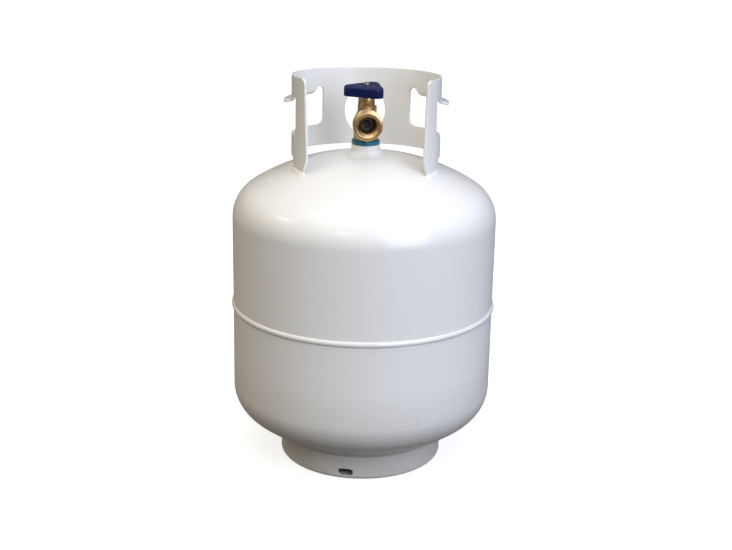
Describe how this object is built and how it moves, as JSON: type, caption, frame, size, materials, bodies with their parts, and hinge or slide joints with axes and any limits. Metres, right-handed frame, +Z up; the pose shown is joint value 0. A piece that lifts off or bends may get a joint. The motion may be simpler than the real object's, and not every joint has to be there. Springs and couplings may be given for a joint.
{
  "type": "propane tank",
  "caption": "Refillable upright steel propane cylinder with foot ring, guard collar with hand openings, and brass shut-off valve with blue handwheel.",
  "frame": {"origin": "on the cylinder's axis, at the underside of the foot ring", "axes": "+Z up along the cylinder's axis; the valve outlet faces -Y, turned 3.5 degrees towards +X"},
  "size_m": [0.309, 0.309, 0.4574],
  "materials": {
    "paint": "gloss off-white enamel",
    "brass": "forged and turned brass",
    "sealant": "dried blue-green thread sealant",
    "blue_plastic": "glossy navy blue",
    "dark_plastic": "blue-black moulded plastic",
    "rubber": "black nitrile rubber",
    "zinc": "bright zinc plate",
    "spring_steel": "stainless steel",
    "acetal": "natural white acetal",
    "foam": "closed-cell foam"
  },
  "bodies": {
    "tank": {"upper_shell": "paint", "lower_shell": "paint", "girth_weld": "paint", "valve_boss": "paint", "boss_weld": "paint", "collar": "paint", "collar_welds": "paint", "foot_ring": "paint", "foot_ring_weld": "paint", "valve_body": "brass", "thread_sealant": "sealant", "bonnet": "brass", "outlet_seal": "rubber", "check_spring": "spring_steel", "relief_cap": "brass", "relief_spring": "spring_steel", "dip_tube": "brass", "stop_housing": "acetal", "pivot_pin": "spring_steel"},
    "handwheel": {"upper_stem": "brass", "stem_o_rings": "rubber", "handwheel": "blue_plastic", "handwheel_washer": "zinc", "handwheel_screw": "zinc"},
    "seat_carrier": {"lower_stem": "brass", "seat_disc": "rubber"},
    "outlet_check": {"check_plunger": "dark_plastic"},
    "relief": {"relief_poppet": "brass", "relief_disc": "rubber"},
    "bleeder_ring": {"bleeder_o_ring": "rubber"},
    "bleeder": {"bleeder_screw": "brass"},
    "float_lever": {"float_arm": "zinc", "float": "foam"},
    "stop_valve": {"stop_piston": "acetal", "stop_seal": "rubber"}
  },
  "joints": [
    {"name": "handwheel_turn", "type": "hinge", "parent": "tank", "child": "handwheel", "pos_m": [0, 0, 0.43], "axis": [0, 0, 1], "range_deg": [0, 540]},
    {"name": "seat_lift", "type": "slide", "parent": "handwheel", "child": "seat_carrier", "axis": [0, 0, 1], "range_m": [0, 0.003]},
    {"name": "check_push", "type": "slide", "parent": "tank", "child": "outlet_check", "axis": [-0.061, 0.9981, 0], "range_m": [0, 0.004], "stiffness_N_per_m": 900, "springref_m": -0.002, "deforming": ["check_spring"]},
    {"name": "relief_lift", "type": "slide", "parent": "tank", "child": "relief", "axis": [-0.061, 0.9981, 0], "range_m": [0, 0.0025], "stiffness_N_per_m": 9000, "springref_m": -0.004, "deforming": ["relief_spring"]},
    {"name": "bleeder_travel", "type": "slide", "parent": "tank", "child": "bleeder_ring", "axis": [0.9981, 0.061, 0], "range_m": [0, 0.00159]},
    {"name": "bleeder_turn", "type": "hinge", "parent": "bleeder_ring", "child": "bleeder", "pos_m": [0.01131, 0.01171, 0.41465], "axis": [0.9981, 0.061, 0], "range_deg": [0, 720]},
    {"name": "float_swing", "type": "hinge", "parent": "tank", "child": "float_lever", "pos_m": [0, 0, 0.2935], "axis": [0.9981, 0.061, 0], "range_deg": [0, 35]},
    {"name": "stop_lift", "type": "slide", "parent": "tank", "child": "stop_valve", "axis": [0, 0, 1], "range_m": [0, 0.00271]}
  ],
  "couplings": [
    {"joint": "seat_lift", "follows": "handwheel_turn", "m_per_rad": 0.00031831},
    {"joint": "bleeder_turn", "follows": "bleeder_travel", "rad_per_m": 7913.3},
    {"joint": "stop_lift", "follows": "float_swing", "m_per_rad": 0.0044304}
  ]
}
